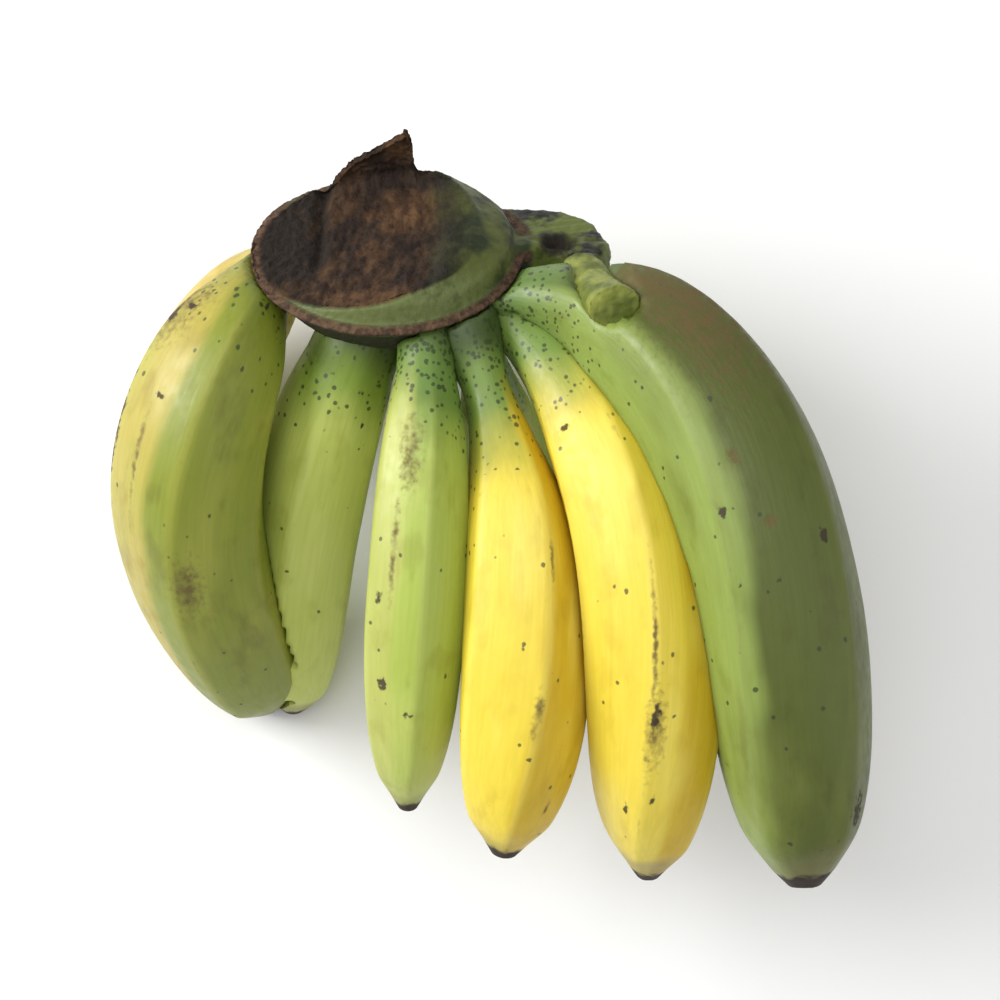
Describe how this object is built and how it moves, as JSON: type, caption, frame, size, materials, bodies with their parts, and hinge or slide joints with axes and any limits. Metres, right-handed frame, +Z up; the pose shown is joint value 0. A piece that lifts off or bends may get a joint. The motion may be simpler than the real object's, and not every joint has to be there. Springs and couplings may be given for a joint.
{
  "type": "hand of bananas",
  "caption": "Hand of bananas joined at a brown cut crown, lying on its hollow side, with green fingers at the outside and yellow ones in the middle.",
  "frame": {"origin": "on the surface that the hand lies on, under the middle of its box", "axes": "+Z up from that surface; -Y towards the blossom tips of the fingers and +Y towards the back of the crown; +X towards the largest green finger"},
  "size_m": [0.2116, 0.2084, 0.1224],
  "materials": {
    "green_skin": "satin banana skin, green, with brown rub marks",
    "light_green_skin": "satin banana skin, light green, with a green neck",
    "yellow_skin": "satin banana skin, yellow, with a green neck and brown rub marks",
    "crown": "matt brown fibrous cut face, with a brown rim and green skin under it"
  },
  "bodies": {
    "root": {"crown": "crown", "finger_back_left": "yellow_skin", "finger_front_1": "green_skin", "finger_front_2": "green_skin", "finger_front_3": "light_green_skin", "finger_front_4": "yellow_skin", "finger_front_5": "yellow_skin", "finger_front_6": "green_skin", "finger_inner_1": "light_green_skin", "finger_inner_2": "light_green_skin", "finger_back_right": "green_skin"}
  },
  "joints": []
}
